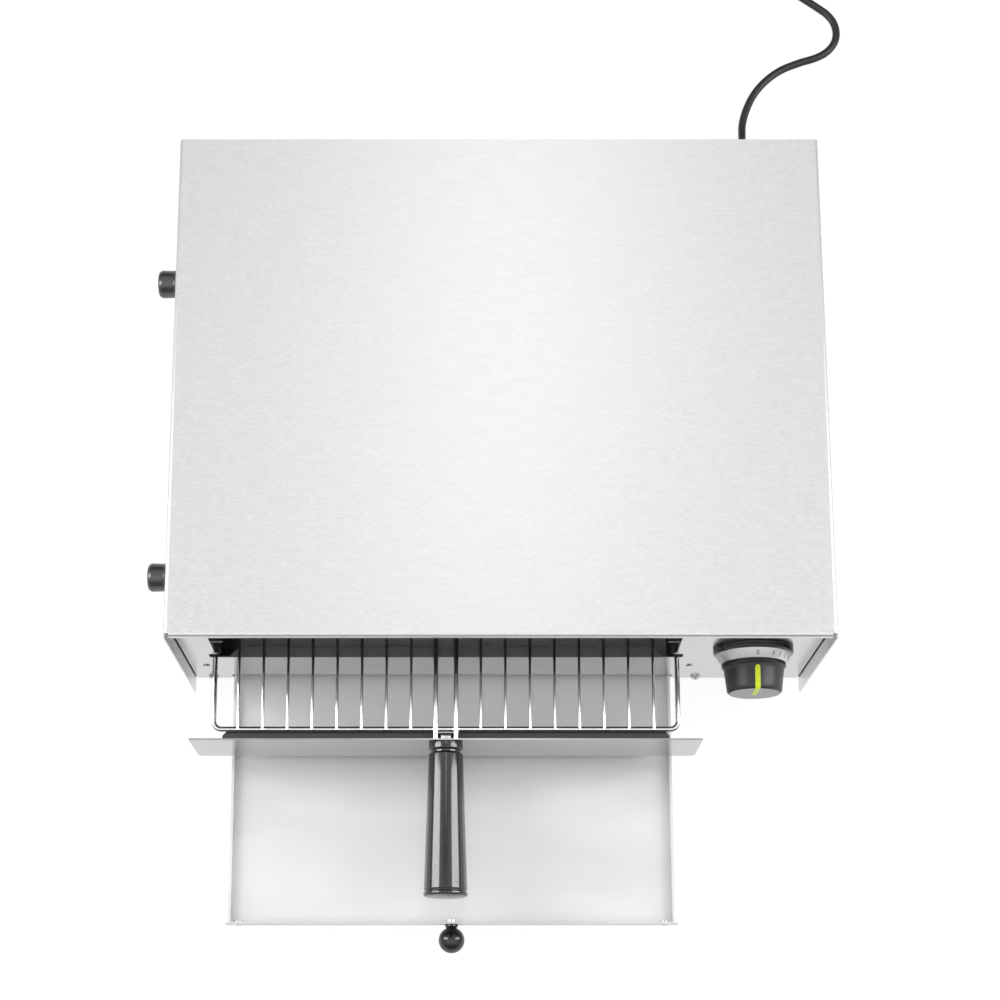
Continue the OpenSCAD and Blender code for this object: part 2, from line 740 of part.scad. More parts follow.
// Two rods that run on to the front plate
module handle_rods() color("silver") {
    for (s = [-1, 1])
        bar_y(plate_in, rack_back + 1, rack_x + s * rod_pitch / 2, rod_z, rod_d);
}

// Steel plate on the front of the rack
module front_plate() color("gainsboro") {
    difference() {
        translate([rack_x - plate_w / 2, plate_y, plate_top]) rotate([-90, 0, 0]) linear_extrude(plate_t)
            round_top(plate_w, plate_h, plate_corner);
        bar_y(plate_y - past, plate_in + past, rack_x, handle_z, bolt_d + 2 * hole_play);
    }
}

// Dark channel behind the plate that meets the front panel when the rack is in
module plate_liner() color("dimgray") {
    half = liner_w / 2;
    difference() {
        intersection() {
            block([rack_x - half, plate_in, liner_low], [rack_x + half, liner_back, liner_top]);
            translate([rack_x, plate_in, liner_low - past]) linear_extrude(liner_top - liner_low + 2 * past)
                polygon([[-half, -past], [half, -past], [half, liner_d / 2], [half - liner_d / 2, liner_d],
                    [liner_d / 2 - half, liner_d], [-half, liner_d / 2]]);
        }
        block([rack_x - half - past, plate_in - past, liner_low + sheet],
            [rack_x + half + past, liner_back - sheet, liner_top - sheet]);
        block([rack_x - liner_notch, plate_in - past, handle_z - liner_notch],
            [rack_x + liner_notch, liner_back + past, liner_top + past]);
    }
}

module handle_washer() color("white")
    difference() {
        bar_y(plate_in, plate_in + washer_t, rack_x, handle_z, washer_d);
        bar_y(plate_in - past, plate_in + washer_t + past, rack_x, handle_z, bolt_d + 2 * hole_play);
    }

// Bolt through the plate into the grip
module handle_bolt() color("silver") {
    seat = bolt_reach + plate_t + washer_t;
    r = bolt_head_d / 2;
    translate([rack_x, plate_y - bolt_reach, handle_z]) rotate([-90, 0, 0]) rotate_extrude()
        polygon([[0, 0], [bolt_d / 2, 0], [bolt_d / 2, seat], [r, seat], [r, seat + bolt_head_t - 1.4],
            [r - 1.4, seat + bolt_head_t], [0, seat + bolt_head_t]]);
}

module handle_collar() color("black") {
    r = grip_root_d / 2;
    hole = bolt_d / 2 + bore_play;
    turned(rack_x, plate_y, handle_z, [[hole, 0], [r, 0], [r, collar_len - groove_len - 0.8],
        [r - 0.8, collar_len - groove_len], [r - 2, collar_len - groove_len], [r - 2, collar_len],
        [hole, collar_len]]);
}

// Flared grip with a rounded end
module handle_grip() color("black") {
    r0 = grip_root_d / 2;
    r1 = grip_end_d / 2;
    hole = bolt_d / 2 + bore_play;
    turned(rack_x, plate_y - collar_len, handle_z, [[hole, 0], [r0 - 1, 0], [r0, 1],
        [r1 - 0.3, grip_len - 5], [r1 - 1, grip_len - 4.4], [r1 - 1, grip_len - 3.6], [r1, grip_len - 3],
        [r1, grip_len - 1], [r1 - 1, grip_len], [0, grip_len], [0, bolt_reach - collar_len + 4],
        [hole, bolt_reach - collar_len + 4]]);
}

// Crumb tray folded from one sheet, with hemmed edges
module crumb_tray() color("silver") {
    half = tray_w / 2;
    difference() {
        block([tray_x - half, tray_in, tray_low], [tray_x + half, tray_back, tray_top]);
        block([tray_x - half + tray_t, tray_in + tray_t, tray_low + tray_t],
            [tray_x + half - tray_t, tray_back - tray_t, tray_top - hem_h]);
        block([tray_x - half + tray_hem, tray_in + tray_t, tray_top - hem_h - past],
            [tray_x + half - tray_hem, tray_back - tray_hem, tray_top + past]);
        bar_y(tray_in - past, tray_in + tray_t + past, tray_x, ball_z, ball_screw_d + 2 * hole_play);
        for (s = [-1, 1])
            bar_y(tray_in - past, tray_in + tray_t + past, tray_x + s * tray_rivet_x, ball_z,
                rivet_d + 2 * hole_play);
    }
}

// Facing on the tray that closes the slot
module tray_front() color("silver") {
    half = tray_w / 2 + tray_front_side;
    difference() {
        block([tray_x - half, tray_face, tray_low - slide_gap], [tray_x + half, tray_in, slot_top + 1]);
        bar_y(tray_face - past, tray_in + past, tray_x, ball_z, ball_screw_d + 2 * hole_play);
        for (s = [-1, 1])
            bar_y(tray_face - past, tray_in + past, tray_x + s * tray_rivet_x, ball_z,
                rivet_d + 2 * hole_play);
    }
}

module tray_rivets() color("gray") {
    reach = sheet + tray_t;
    for (s = [-1, 1])
        translate([tray_x + s * tray_rivet_x, 0, ball_z]) {
            turned(0, tray_in + tray_t, 0, [[0, 0], [rivet_d / 2, 0], [rivet_d / 2, reach],
                [rivet_head_d / 2, reach], [rivet_head_d / 2 - 1, reach + 0.8], [0, reach + 0.8]]);
            bar_y(tray_in + tray_t, tray_in + tray_t + 0.8, 0, 0, rivet_head_d);
        }
}

// Ball knob of the tray
module ball_knob() color("black") {
    difference() {
        union() {
            translate([tray_x, ball_y, ball_z]) sphere(d = ball_d);
            bar_y(ball_y, tray_face, tray_x, ball_z, ball_d * 0.5);
        }
        bar_y(ball_y, tray_face + past, tray_x, ball_z, ball_screw_d + 2 * bore_play);
    }
}

module ball_screw() color("silver") {
    bar_y(ball_y + 1, tray_in + tray_t, tray_x, ball_z, ball_screw_d);
    bar_y(tray_in + tray_t, tray_in + tray_t + 2, tray_x, ball_z, ball_screw_head_d);
}

// Shaft of the timer, which turns with the knob
module timer_shaft() color("silver")
    bar_y(knob_y - knob_len + 6, timer_back - 18, timer_x, timer_z, shaft_d);

// Outline of the knob from its foot to its end, grown by a given amount
function knob_outline(grow) = [[0, 0], [knob_d / 2 + grow, 0], [knob_d / 2 + grow, knob_skirt],
    [knob_d / 2 - 1.5 + grow, knob_skirt + 1.5], [knob_end_d / 2 + grow, knob_len - 1.5 + grow],
    [knob_end_d / 2 - 1.5 + grow, knob_len + grow], [0, knob_len + grow]];

// Slot in the knob for the pointer, on its upper side
module pointer_slot(side) {
    low = timer_z + knob_end_d / 2 - pointer_end;
    start = knob_y - knob_skirt - 2.5 - pointer_w / 2;
    block([timer_x - pointer_w / 2 - side, knob_y - knob_len - 2, low],
        [timer_x + pointer_w / 2 + side, start, timer_z + knob_d]);
    bar_z(timer_z, timer_z + knob_d, timer_x, start, pointer_w + 2 * side);
}

module timer_knob() color("black")
    difference() {
        turned(timer_x, knob_y, timer_z, knob_outline(0));
        bar_y(knob_y - knob_len + 6 - past, knob_y + past, timer_x, timer_z, shaft_d + 2 * bore_play);
        difference() {
            pointer_slot(0);
            turned(timer_x, knob_y, timer_z, knob_outline(-pointer_depth));
        }
    }

// Lime insert that shows the set time
module knob_pointer() color("yellowgreen")
    difference() {
        intersection() {
            turned(timer_x, knob_y, timer_z, knob_outline(pointer_proud));
            pointer_slot(-bore_play);
        }
        turned(timer_x, knob_y, timer_z, knob_outline(-pointer_depth));
    }

// Strain relief, clipped in the back panel and tapered along the cord
module cord_gland() color("black")
    translate([gland_x, back_in - gland_in, gland_z]) rotate([-90, 0, 0]) rotate_extrude()
        polygon([[0, 0], [gland_hole_d / 2 + 1.5, 0], [gland_hole_d / 2 + 1.5, gland_in],
            [gland_hole_d / 2, gland_in], [gland_hole_d / 2, gland_in + sheet],
            [gland_hole_d / 2 + 3, gland_in + sheet], [gland_hole_d / 2 + 3, gland_in + sheet + 3],
            [gland_hole_d / 2 + 0.5, gland_in + sheet + 4], [cord_d / 2 + 1, gland_in + sheet + gland_len],
            [0, gland_in + sheet + gland_len]]);

module cord() color("black") tube(CORD, cord_d, cord_sides);

module cord_coil() color("black") tube(COIL, cord_d, coil_sides);

// Band that holds the coil together on its far side
module coil_tie() color("dimgray") {
    inner = coil_in - cord_d / 2;
    near = coil_mid.y + sqrt(inner * inner - tie_w * tie_w / 4) - tie_gap;
    far = coil_mid.y + coil_r + cord_d / 2 + tie_gap;
    high = coil_low + coil_step + cord_d / 2 + tie_gap;
    difference() {
        block([coil_mid.x - tie_w / 2, near - tie_t, 0],
            [coil_mid.x + tie_w / 2, far + tie_t, high + tie_t]);
        block([coil_mid.x - tie_w, near, tie_t], [coil_mid.x + tie_w, far, high]);
    }
}

// Earthed mains plug at the end of the cord
module plug() color("black")
    translate(plug_at) rotate([0, 0, plug_turn]) rotate([0, 90, 0]) difference() {
        rotate_extrude()
            polygon([[0, 0], [cord_d / 2 + 1, 0], [7.5, 22], [12, 25], [15.5, 31], [15.5, 40], [plug_r, 44],
                [plug_r, plug_len - 1], [plug_r - 1, plug_len], [0, plug_len]]);
        for (s = [-1, 1])
            translate([s * plug_r, 0, plug_len - 6]) cube([5, 6, 14], center = true);
    }

module plug_pins() color("gold")
    translate(plug_at) rotate([0, 0, plug_turn]) rotate([0, 90, 0])
        for (s = [-1, 1])
            translate([0, s * pin_pitch / 2, plug_len]) rotate_extrude()
                polygon([[0, 0], [pin_d / 2, 0], [pin_d / 2, pin_len - 1.5],
                    [pin_d / 2 - 1.5, pin_len], [0, pin_len]]);

top_cover();
front_panel();
back_panel();
base_plate();
chamber_left_wall();
chamber_right_wall();
chamber_rear_wall();
chamber_ceiling();
rack_rails();
tray_runners();
upper_heating_tubes();
lower_heating_tubes();
upper_tube_caps();
lower_tube_caps();
heater_links();
timer_body();
dial_bezel();
dial_ring();
terminal_block();
wiring();
bottom_feet();
foot_screws();
side_bumpers();
panel_screws();
panel_rivets();
back_screws();
rack_frame();
rack_wires();
handle_rods();
front_plate();
plate_liner();
handle_washer();
handle_bolt();
handle_collar();
handle_grip();
crumb_tray();
tray_front();
tray_rivets();
ball_knob();
ball_screw();
timer_shaft();
timer_knob();
knob_pointer();
cord_gland();
cord();
cord_coil();
coil_tie();
plug();
plug_pins();
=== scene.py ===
import math

import bmesh
import bpy
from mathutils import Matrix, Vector


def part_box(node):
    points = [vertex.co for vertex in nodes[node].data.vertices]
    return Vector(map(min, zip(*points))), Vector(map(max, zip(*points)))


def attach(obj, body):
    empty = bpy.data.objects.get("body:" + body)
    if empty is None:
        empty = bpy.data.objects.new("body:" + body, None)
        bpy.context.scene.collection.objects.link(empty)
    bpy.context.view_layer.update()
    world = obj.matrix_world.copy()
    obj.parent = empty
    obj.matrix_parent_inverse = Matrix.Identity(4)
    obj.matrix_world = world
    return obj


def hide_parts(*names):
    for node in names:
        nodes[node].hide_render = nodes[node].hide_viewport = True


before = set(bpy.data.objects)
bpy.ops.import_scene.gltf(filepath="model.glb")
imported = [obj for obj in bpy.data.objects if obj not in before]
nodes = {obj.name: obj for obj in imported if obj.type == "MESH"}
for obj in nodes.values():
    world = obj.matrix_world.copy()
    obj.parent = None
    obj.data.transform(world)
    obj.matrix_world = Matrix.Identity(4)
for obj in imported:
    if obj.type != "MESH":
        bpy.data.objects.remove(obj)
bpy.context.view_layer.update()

# Camera
# The oven is seen from above and a little in front, on a white table.
# A long lens keeps its sides nearly parallel, and a small lens shift leaves room for both drawers.
MM = 0.001
cam = bpy.data.objects.new("camera", bpy.data.cameras.new("camera"))
bpy.context.scene.collection.objects.link(cam)
cam.location = Vector((-14.3, -450.1, 1692.3)) * MM
cam.rotation_euler = (math.radians(14.03), 0, 0)
cam.data.lens = 77.94
cam.data.sensor_width = 36
cam.data.shift_x = 0.03
cam.data.shift_y = 0.12
cam.data.clip_start = 0.05
cam.data.clip_end = 60
bpy.context.scene.camera = cam
bpy.context.scene.view_settings.view_transform = "Standard"

# Power cord
# A round black mains lead with an extruded PVC sheath. It leaves the strain relief, drops to the table
# and runs out of the picture at the top. The rest is wound into a round coil in two layers, and its end
# rises to the plug.
CORD_D = 6.5
SKIN_GAP = 0.05
LAY_Z = CORD_D / 2 + 0.1
COIL_LOW = 1.0 + CORD_D / 2
COIL_R, COIL_TURNS, COIL_STEP, TURN_POINTS = 45.0, 4.9, 7.0, 48
TAIL_LENGTH, TAIL_POINTS, PLUG_Z = 60, 10, 18.8
route = [Vector(p) for p in (
    (211, 323.5, 45), (211, 336, 45), (211.5, 349, 40), (213, 361, 31.5), (214.5, 372, 21),
    (216, 383, 11.5), (217, 395, 5.5), (218, 408, LAY_Z), (222, 422, LAY_Z), (229, 436, LAY_Z),
    (239, 448, LAY_Z), (252, 458, LAY_Z), (268, 465, LAY_Z), (283, 470, LAY_Z), (293, 476, LAY_Z),
    (299.5, 484.5, LAY_Z), (301.5, 494, LAY_Z), (299.5, 503.5, LAY_Z), (294, 511.5, LAY_Z),
    (286, 518, LAY_Z), (273, 527.5, LAY_Z), (259, 537.5, LAY_Z + 0.3), (249, 544.6, COIL_LOW),
    (239, 551.8, COIL_LOW))]


def smooth_line(points, steps=5):
    """A soft curve through all the points."""
    out = []
    for i in range(len(points) - 1):
        a = points[max(i - 1, 0)]
        b, c = points[i], points[i + 1]
        d = points[min(i + 2, len(points) - 1)]
        for k in range(steps):
            t = k / steps
            out.append(0.5 * (2 * b + (c - a) * t + (2 * a - 5 * b + 4 * c - d) * t ** 2
                              + (3 * b - a - 3 * c + d) * t ** 3))
    return out + [points[-1]]


def ease(s):
    """A step from 0 to 1 with soft ends."""
    return s * s * (3 - 2 * s)


heading = (route[-1] - route[-2]).normalized()
coil_start = route[-1] + heading * CORD_D
coil_mid = coil_start + Vector((heading.y, -heading.x, 0)) * COIL_R
coil_angle = math.atan2(coil_start.y - coil_mid.y, coil_start.x - coil_mid.x)
loops = []
for i in range(round(COIL_TURNS * TURN_POINTS) + 1):
    u = i / TURN_POINTS
    r = COIL_R - COIL_STEP * COIL_TURNS / 2 + COIL_STEP * abs(u - COIL_TURNS / 2)
    climb = ease(max(0.0, min(1.0, (u - COIL_TURNS / 2 + 0.25) / 0.5)))
    a = coil_angle - 2 * math.pi * u
    loops.append(coil_mid + Vector((r * math.cos(a), r * math.sin(a), COIL_STEP * climb)))
out_dir = loops[-1] - loops[-3]
out_dir.z = 0
out_dir.normalize()
tail_rise = PLUG_Z - loops[-1].z
tail = []
for i in range(1, TAIL_POINTS + 1):
    s = i / TAIL_POINTS
    tail.append(loops[-1] + out_dir * TAIL_LENGTH * s + Vector((0, 0, tail_rise * ease(s))))
tail.append(tail[-1] + out_dir * CORD_D)
cord_line = smooth_line(route) + loops + tail


def lin(code):
    """A colour written as sRGB hex digits, as linear RGBA."""
    parts = [int(code[i : i + 2], 16) / 255 for i in (1, 3, 5)]
    return [p / 12.92 if p <= 0.04045 else ((p + 0.055) / 1.055) ** 2.4 for p in parts] + [1.0]


def put(tree, kind, inputs=None, **settings):
    """Adds a shader node, sets its properties and sets or links its inputs."""
    n = tree.nodes.new(kind)
    for key, value in settings.items():
        setattr(n, key, value)
    for key, value in (inputs or {}).items():
        if isinstance(value, bpy.types.NodeSocket):
            tree.links.new(value, n.inputs[key])
        else:
            n.inputs[key].default_value = value
    return n


def surface(name, **values):
    """A material with one principled shader; values set its sockets by name, with _ for spaces."""
    mat = bpy.data.materials.new(name)
    mat.use_nodes = True
    tree = mat.node_tree
    tree.nodes.clear()
    bsdf = put(tree, "ShaderNodeBsdfPrincipled", {k.replace("_", " "): v for k, v in values.items()})
    put(tree, "ShaderNodeOutputMaterial", {"Surface": bsdf.outputs[0]})
    return mat, tree, bsdf


def vary(tree, bsdf, spot=None, detail=2.0, value=None, colours=None, rough=None, relief=None):
    """Lets a pattern shift a finish between two colours or two roughnesses, or raise it.

    The pattern is noise with even spots of a size in mm, unless a value is given.
    Relief is a strength and a height in mm.
    """
    if value is None:
        at = put(tree, "ShaderNodeTexCoord").outputs["Object"]
        noise = {"Vector": at, "Scale": 1 / (spot * MM), "Detail": detail}
        value = put(tree, "ShaderNodeTexNoise", noise).outputs[0]
    # Noise keeps mostly between these two values.
    usual = {0: value, 1: 0.3, 2: 0.7}
    if colours:
        share = put(tree, "ShaderNodeMapRange", usual).outputs[0]
        mix = put(tree, "ShaderNodeMix", {0: share, 6: colours[0], 7: colours[1]}, data_type="RGBA")
        tree.links.new(mix.outputs[2], bsdf.inputs["Base Color"])
    if rough:
        level = put(tree, "ShaderNodeMapRange", {**usual, 3: rough[0], 4: rough[1]})
        tree.links.new(level.outputs[0], bsdf.inputs["Roughness"])
    if relief:
        raised = {"Strength": relief[0], "Distance": relief[1] * MM, "Height": value}
        tree.links.new(put(tree, "ShaderNodeBump", raised).outputs[0], bsdf.inputs["Normal"])


def moulded(name, dark, light, rough, spot, strength, depth, gloss=1.52):
    """A plastic, rubber or ceramic: two close shades and a fine skin.

    A real skin has grains of about 0.1 mm. They are drawn coarser, as spots of 0.7 to 2.5 mm, so that
    they show. Gloss is the refractive index; it is raised above the usual 1.5 for polished pieces.
    """
    mat, tree, bsdf = surface(name, Roughness=rough, IOR=gloss)
    vary(tree, bsdf, spot, colours=(lin(dark), lin(light)), rough=(rough - 0.04, rough + 0.05),
         relief=(strength, depth))
    return mat


def tube(name, lines, radius, closed=False, sides=5):
    """Round wire or cable along lists of points, in mm."""
    curve = bpy.data.curves.new(name, "CURVE")
    curve.dimensions = "3D"
    curve.bevel_depth = radius * MM
    curve.bevel_resolution = sides
    curve.use_fill_caps = True
    for points in lines:
        spline = curve.splines.new("POLY")
        spline.points.add(len(points) - 1)
        for q, p in zip(spline.points, points):
            q.co = (p[0] * MM, p[1] * MM, p[2] * MM, 1)
        spline.use_cyclic_u = closed
        spline.use_smooth = True
    obj = bpy.data.objects.new(name, curve)
    bpy.context.scene.collection.objects.link(obj)
    return obj


def own(obj, body, slot, mat, *replaced):
    """Gives a new piece its material and its body, and hides the CAD nodes that it stands for. The slot is
    not used.
    """
    obj.data.materials.clear()
    obj.data.materials.append(mat)
    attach(obj, body)
    if replaced:
        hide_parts(*replaced)
    return obj


# Soft PVC: nearly black with a dull sheen and a faint unevenness from the extruder.
pvc = moulded("PVC extruded sheath", "#0d0d0e", "#17171a", 0.42, 1.6, 0.05, 0.2)
cord = own(tube("mains_cord", [cord_line], CORD_D / 2 - SKIN_GAP, sides=6), "oven", "cord_sheath", pvc,
           "cord", "cord_coil")

# Strain relief
# A soft black sleeve, moulded in rubber and clipped in the back panel by its groove.
# Its rings let the lead bend without a kink; they get smaller towards the end.
SHANK_R, GROOVE_R, MOUTH_R = 7.5, 6, 4.25
RINGS, RING_DEPTH, RING_TAPER = 8, 0.8, 0.24


def mid(node):
    """Middle, lowest and highest corner of a CAD node, in mm."""
    lo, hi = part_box(node)
    return (lo + hi) / 2 / MM, lo / MM, hi / MM


def mesh_object(name, bm, angle=32):
    """A mesh object from a bmesh, smooth except at edges sharper than the angle."""
    bmesh.ops.recalc_face_normals(bm, faces=bm.faces)
    mesh = bpy.data.meshes.new(name)
    bm.to_mesh(mesh)
    bm.free()
    for p in mesh.polygons:
        p.use_smooth = True
    mesh.set_sharp_from_angle(angle=math.radians(angle))
    obj = bpy.data.objects.new(name, mesh)
    bpy.context.scene.collection.objects.link(obj)
    return obj


def lathe(bm, profile, at, along, turns=72):
    """Turns a profile of (radius, height) in mm about a line that leaves the point along a direction."""
    along = Vector(along).normalized()
    side = along.orthogonal().normalized()
    other = along.cross(side)
    at = Vector(at)
    rings = []
    for r, h in profile:
        if r < 1e-6:
            rings.append([bm.verts.new((at + along * h) * MM)])
            continue
        ring = []
        for k in range(turns):
            a = 2 * math.pi * k / turns
            spoke = side * math.cos(a) + other * math.sin(a)
            ring.append(bm.verts.new((at + along * h + spoke * r) * MM))
        rings.append(ring)
    for low, high in zip(rings, rings[1:]):
        for k in range(turns):
            j = (k + 1) % turns
            if len(low) == 1 and len(high) == 1:
                continue
            if len(low) == 1:
                bm.faces.new((low[0], high[k], high[j]))
            elif len(high) == 1:
                bm.faces.new((low[k], low[j], high[0]))
            else:
                bm.faces.new((low[k], low[j], high[j], high[k]))


def turned(name, profile, at, along, turns=72):
    """One turned piece as an object."""
    bm = bmesh.new()
    lathe(bm, profile, at, along, turns)
    return mesh_object(name, bm)


def rounded(points, size, steps=5):
    """Rounds the corners of a profile by up to that size in mm."""
    out = [points[0]]
    for a, b, c in zip(points, points[1:], points[2:]):
        a, b, c = Vector(a), Vector(b), Vector(c)
        reach = min(size, (a - b).length * 0.45, (c - b).length * 0.45)
        start = b + (a - b).normalized() * reach
        end = b + (c - b).normalized() * reach
        for i in range(steps + 1):
            t = i / steps
            p = start * (1 - t) ** 2 + b * 2 * t * (1 - t) + end * t * t
            out.append((p.x, p.y))
    out.append(points[-1])
    return out


# Moulded rubber: dark grey with a dull, softly grained skin.
rubber = moulded("rubber moulded", "#101011", "#1b1b1c", 0.55, 1.2, 0.12, 0.2)
_, low, high = mid("cord_gland")
lip, end = (high.x - low.x) / 2, high.y - low.y
sleeve = [(0, 0), (SHANK_R, 0), (SHANK_R, 6), (GROOVE_R, 6), (GROOVE_R, 7), (lip, 7), (lip, 10),
          (lip - 2.5, 11)]
for k in range(RINGS):
    r, h = lip - 2.6 - RING_TAPER * k, 12 + (end - 14) * k / RINGS
    sleeve += [(r, h), (r, h + 1.5), (r - RING_DEPTH, h + 1.7), (r - RING_DEPTH, h + 2.4)]
sleeve += [(MOUTH_R, end), (0, end)]
base = ((low.x + high.x) / 2, low.y, (low.z + high.z) / 2)
relief = turned("strain_relief", rounded(sleeve, 0.25, 3), base, (0, 1, 0), 40)
own(relief, "oven", "rubber", rubber, "cord_gland")

# Casing
# The cover is one stainless sheet folded over the top and both sides, brushed across the oven.
# The recessed front panel, the back panel and the base close it; plated screws and rivets hold them.


def grain(tree, along, across, length, width, detail=3.0):
    """Streaky noise: length and width of a streak in mm, along and across as directions."""
    at = put(tree, "ShaderNodeTexCoord").outputs["Object"]
    axes = {}
    for k, (direction, size) in enumerate(((along, length), (across, width))):
        dot = put(tree, "ShaderNodeVectorMath", {0: at, 1: direction}, operation="DOT_PRODUCT")
        scaled = {0: dot.outputs["Value"], 1: 1 / (size * MM)}
        axes[k] = put(tree, "ShaderNodeMath", scaled, operation="MULTIPLY").outputs[0]
    line = put(tree, "ShaderNodeCombineXYZ", axes).outputs[0]
    return put(tree, "ShaderNodeTexNoise", {"Vector": line, "Scale": 1.0, "Detail": detail}).outputs[0]


def brushed(name, colour, along, across, rough, contrast=0.05, length=14):
    """Brushed stainless steel: fine streaks and wide faint ones that vary its shade and gloss.

    Real brush lines are under 0.1 mm wide. They are drawn coarser, 0.7 mm wide, so that they show.
    """
    width = 0.7
    mat, tree, bsdf = surface(name, Metallic=1.0)
    fine = grain(tree, along, across, length, width)
    wide = grain(tree, along, across, length * 4, width * 5, 2.0)
    faint = put(tree, "ShaderNodeMath", {0: wide, 1: 0.25}, operation="MULTIPLY").outputs[0]
    streaks = put(tree, "ShaderNodeMath", {0: fine, 1: 0.75, 2: faint}, operation="MULTIPLY_ADD").outputs[0]
    shades = [[min(1, x * (1 + s * contrast)) for x in lin(colour)[:3]] + [1] for s in (-1, 1)]
    vary(tree, bsdf, value=streaks, colours=shades)
    vary(tree, bsdf, value=fine, rough=(rough - 0.05, rough + 0.06), relief=(0.06, 0.05))
    return mat


def dress(node, mat, edge=0.0):
    """Gives a CAD node its material, smooth curves and softly broken edges of that width in mm."""
    obj = nodes[node]
    obj.data.materials.clear()
    obj.data.materials.append(mat)
    for p in obj.data.polygons:
        p.use_smooth = True
    obj.data.set_sharp_from_angle(angle=math.radians(35))
    if edge:
        weld = obj.modifiers.new("weld", "WELD")
        weld.merge_threshold = 1e-6
        soft = obj.modifiers.new("edge", "BEVEL")
        soft.width = edge * MM
        soft.segments = 2
        soft.limit_method = "ANGLE"
        soft.angle_limit = math.radians(40)
        soft.use_clamp_overlap = True
    flat = obj.modifiers.new("flat", "WEIGHTED_NORMAL")
    flat.keep_sharp = True


# Cover steel: a pale silky sheet, with short streaks across the top and down the sides.
cover_steel = brushed("stainless steel brushed across", "#d9d9d9", (1, 0, 1), (0, 1, 0), 0.34, 0.09, 5)
# Panel steel: the same sheet with a finer brush, so that it mirrors a little more.
panel_steel = brushed("stainless steel brushed panel", "#c6c6c6", (1, 0, 0), (0, 1, 1), 0.22)
# Inside steel: plain rolled sheet with a dull face that the heat has browned in clouds.
inside_steel, tree, bsdf = surface("rolled steel heat tinted", Metallic=1.0, Roughness=0.42)
vary(tree, bsdf, 45, 4.0, colours=(lin("#7f7972"), lin("#949290")))
vary(tree, bsdf, 3, rough=(0.36, 0.5))
# Zinc plating: bright, bluish grey and slightly uneven; the ripple is drawn coarser than it is, to show.
zinc, tree, bsdf = surface("steel zinc plated", Metallic=1.0, Roughness=0.25, Base_Color=lin("#cfd1d2"))
vary(tree, bsdf, 0.6, relief=(0.1, 0.05))
dress("top_cover", cover_steel)
dress("front_panel", panel_steel)
# Flange steel: rougher, with scratches front to back from the rack that passes over the flange, and a darker
# grey that is painted shade of the opening. The scratches are drawn 0.8 mm wide, coarser than real ones, so
# that they show.
scratched_and_shaded, tree, bsdf = surface("stainless steel scuffed", Metallic=1.0, Base_Color=lin("#828282"))
vary(tree, bsdf, value=grain(tree, (0, 1, 0), (1, 0, 0), 6, 0.8), rough=(0.5, 0.7))
# The flange at the lower edge of the opening lies between these heights, in metres.
FLANGE_LOW, FLANGE_HIGH = 0.06, 0.1
panel = nodes["front_panel"].data
# The flange's faces get the darker grey, which is painted shade, and the scratched roughness.
panel.materials.append(scratched_and_shaded)
for p in panel.polygons:
    if p.normal.z > 0.9 and FLANGE_LOW < p.center.z < FLANGE_HIGH:
        p.material_index = 1
dress("back_panel", panel_steel)
dress("base_plate", inside_steel)
for node in ("panel_screws", "panel_rivets", "back_screws", "foot_screws"):
    dress(node, zinc)

# Rubber feet and side bumpers
# Four feet and two bumpers of moulded black rubber; the feet are screwed to the base.
# The bumpers sit on the left wall and keep it off a neighbour; each has a flange and a hollow end.
FLANGE_T, HOLLOW_R, HOLLOW_DEPTH = 2.4, 4.5, 6
dress("bottom_feet", rubber)
# Glossy rubber: deep black, with a bright line along its curve.
shiny = moulded("rubber moulded glossy", "#0a0a0b", "#131314", 0.3, 2.0, 0.05, 0.2, 1.9)
bm = bmesh.new()
_, low, high = mid("side_bumpers")
r = (high.z - low.z) / 2
depth = high.x - low.x
face = depth - 0.02
bumper = [(r - 0.2, 0), (r, 1), (r, FLANGE_T), (r - 0.9, 3), (r - 0.6, depth - 3), (r - 1.4, depth - 1),
          (r - 3, face), (HOLLOW_R + 0.7, face), (HOLLOW_R, depth - 0.8), (HOLLOW_R, depth - HOLLOW_DEPTH),
          (0, depth - HOLLOW_DEPTH)]
for y in (low.y + r, high.y - r):
    lathe(bm, rounded(bumper, 0.8), (high.x, y, low.z + r), (-1, 0, 0), 56)
own(mesh_object("rubber_bumpers", bm), "oven", "rubber", shiny, "side_bumpers")

# Cooking chamber
# Plates of plain rolled steel, folded and screwed into a box inside the casing.
# Angle runners guide the crumb tray; the channels in which the rack slides are stainless.
for node in ("chamber_left_wall", "chamber_right_wall", "chamber_rear_wall", "chamber_ceiling",
             "tray_runners", "heater_links"):
    dress(node, inside_steel)
dress("rack_rails", panel_steel)

# Heating tubes
# Quartz tubes above and below the rack, each with a heating wire coiled inside.
# Ceramic caps close their ends and hold them; the terminals are of the same ceramic.
WIRE_TURNS = 95.0
# Milky quartz: pale glass with darker bands where the wire's turns show through. The turns are drawn
# about 3 mm apart, coarser than in a real tube, so that they show.
quartz, tree, bsdf = surface("quartz milky", Roughness=0.22, IOR=1.46)
at = put(tree, "ShaderNodeTexCoord").outputs["Object"]
wire = {"Vector": at, "Scale": WIRE_TURNS, "Distortion": 0.4}
bands = put(tree, "ShaderNodeTexWave", wire, bands_direction="X").outputs[0]
shade = put(tree, "ShaderNodeMix", {0: bands, 6: lin("#8f8a84"), 7: lin("#e6e3dc")}, data_type="RGBA")
tree.links.new(shade.outputs[2], bsdf.inputs["Base Color"])
# Unglazed ceramic: chalky, off-white and dull.
ceramic = moulded("ceramic unglazed", "#d3cdbf", "#e8e4da", 0.7, 2.0, 0.1, 0.2)
for node in ("upper_heating_tubes", "lower_heating_tubes"):
    dress(node, quartz)
for node in ("upper_tube_caps", "lower_tube_caps", "terminal_block"):
    dress(node, ceramic)

# Timer and wiring
# A clockwork bell timer in a plated case behind the panel, with its shaft through the dial.
# The leads between the terminals, the timer and the tubes have woven sleeves against the heat.
WEAVE = 400.0
